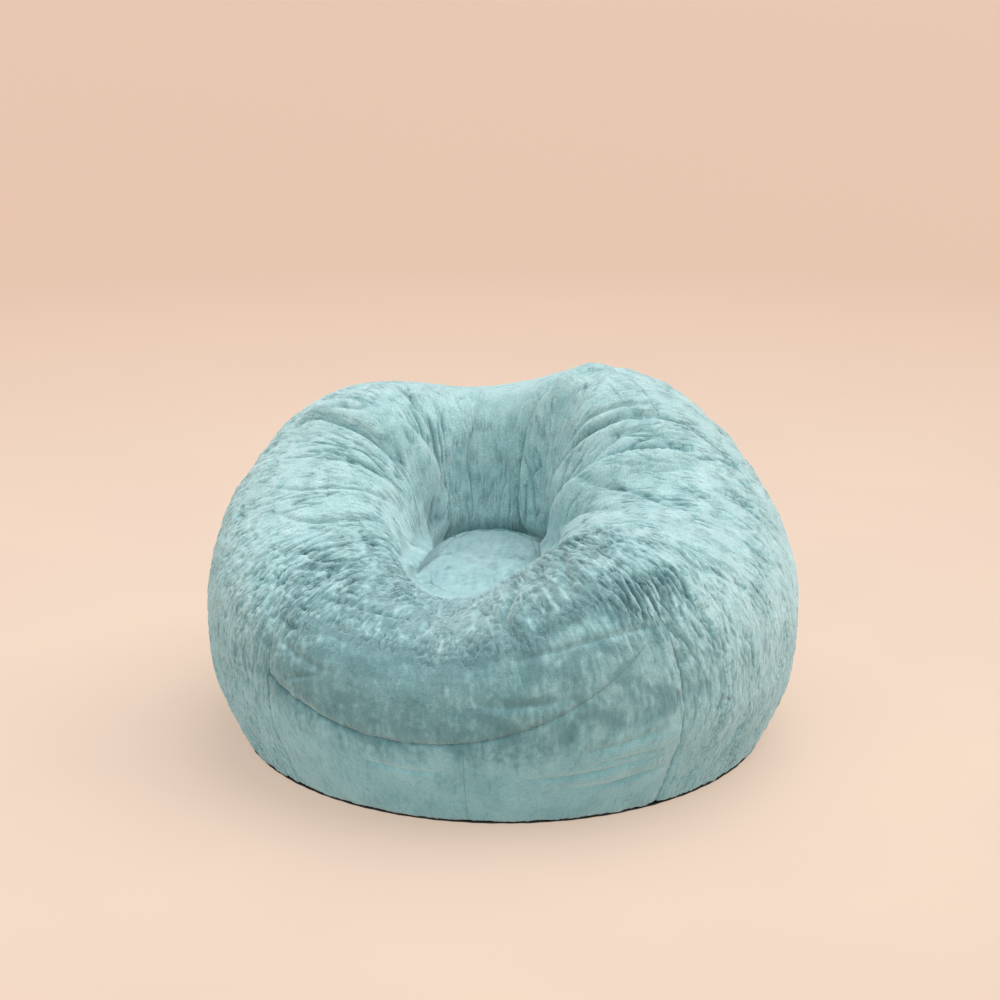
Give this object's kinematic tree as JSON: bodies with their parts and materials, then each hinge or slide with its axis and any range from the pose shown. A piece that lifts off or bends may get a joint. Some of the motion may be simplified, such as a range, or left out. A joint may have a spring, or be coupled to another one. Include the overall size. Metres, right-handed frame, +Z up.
{
  "type": "bean bag chair",
  "caption": "Low round bean bag chair in long-pile plush, with a deep seat hollow between two arm rolls and a soft back, a zipped cover and a zipped liner of beads.",
  "frame": {"origin": "middle of the base panel's underside, on the surface the chair stands on", "axes": "+Z up, the sitter faces -Y, +X is at the sitter's left hand"},
  "size_m": [0.9581, 0.9529, 0.5428],
  "materials": {
    "plush_fur": "brushed plush pile, pale blue-green",
    "base_cloth": "dark woven non-slip cloth",
    "zip_tape": "knitted polyester tape",
    "zip_coil": "nylon coil",
    "zip_metal": "die-cast, tumbled",
    "liner_cloth": "plain white polyester",
    "bead_fill": "loose white foam beads"
  },
  "bodies": {
    "bag": {"front_panel": "plush_fur", "front_lower_left_panel": "plush_fur", "front_lower_right_panel": "plush_fur", "left_arm_panel": "plush_fur", "right_arm_panel": "plush_fur", "seat_panel": "plush_fur", "inner_back_panel": "plush_fur", "back_panel": "plush_fur", "base_panel": "base_cloth", "cover_zip_tape_lower": "zip_tape", "cover_zip_tape_upper": "zip_tape", "liner_zip_tape_front": "zip_tape", "liner_zip_tape_rear": "zip_tape", "cover_zip_coil_lower": "zip_coil", "cover_zip_coil_upper": "zip_coil", "liner_zip_coil_front": "zip_coil", "liner_zip_coil_rear": "zip_coil", "cover_zip_stop_closed": "zip_metal", "cover_zip_stop_open": "zip_metal", "liner_zip_stops": "zip_metal", "liner_upper": "liner_cloth", "liner_base_front": "liner_cloth", "liner_base_rear": "liner_cloth", "bean_fill": "bead_fill"},
    "cover_slider": {"cover_zip_slider": "zip_metal"},
    "cover_pull": {"cover_zip_pull": "zip_metal"},
    "liner_slider": {"liner_zip_slider": "zip_metal"}
  },
  "joints": [
    {"name": "cover_zip_slide", "type": "hinge", "parent": "bag", "child": "cover_slider", "pos_m": [0, 0, 0], "axis": [0, 0, 1], "range_deg": [0, 116.2]},
    {"name": "cover_pull_swing", "type": "hinge", "parent": "cover_slider", "child": "cover_pull", "pos_m": [0.36922, 0.22952, 0.01322], "axis": [-0.3485, -0.2166, -0.9119], "range_deg": [0, 175]},
    {"name": "liner_zip_slide", "type": "slide", "parent": "bag", "child": "liner_slider", "axis": [1, 0, 0], "range_m": [0, 0.547]}
  ]
}
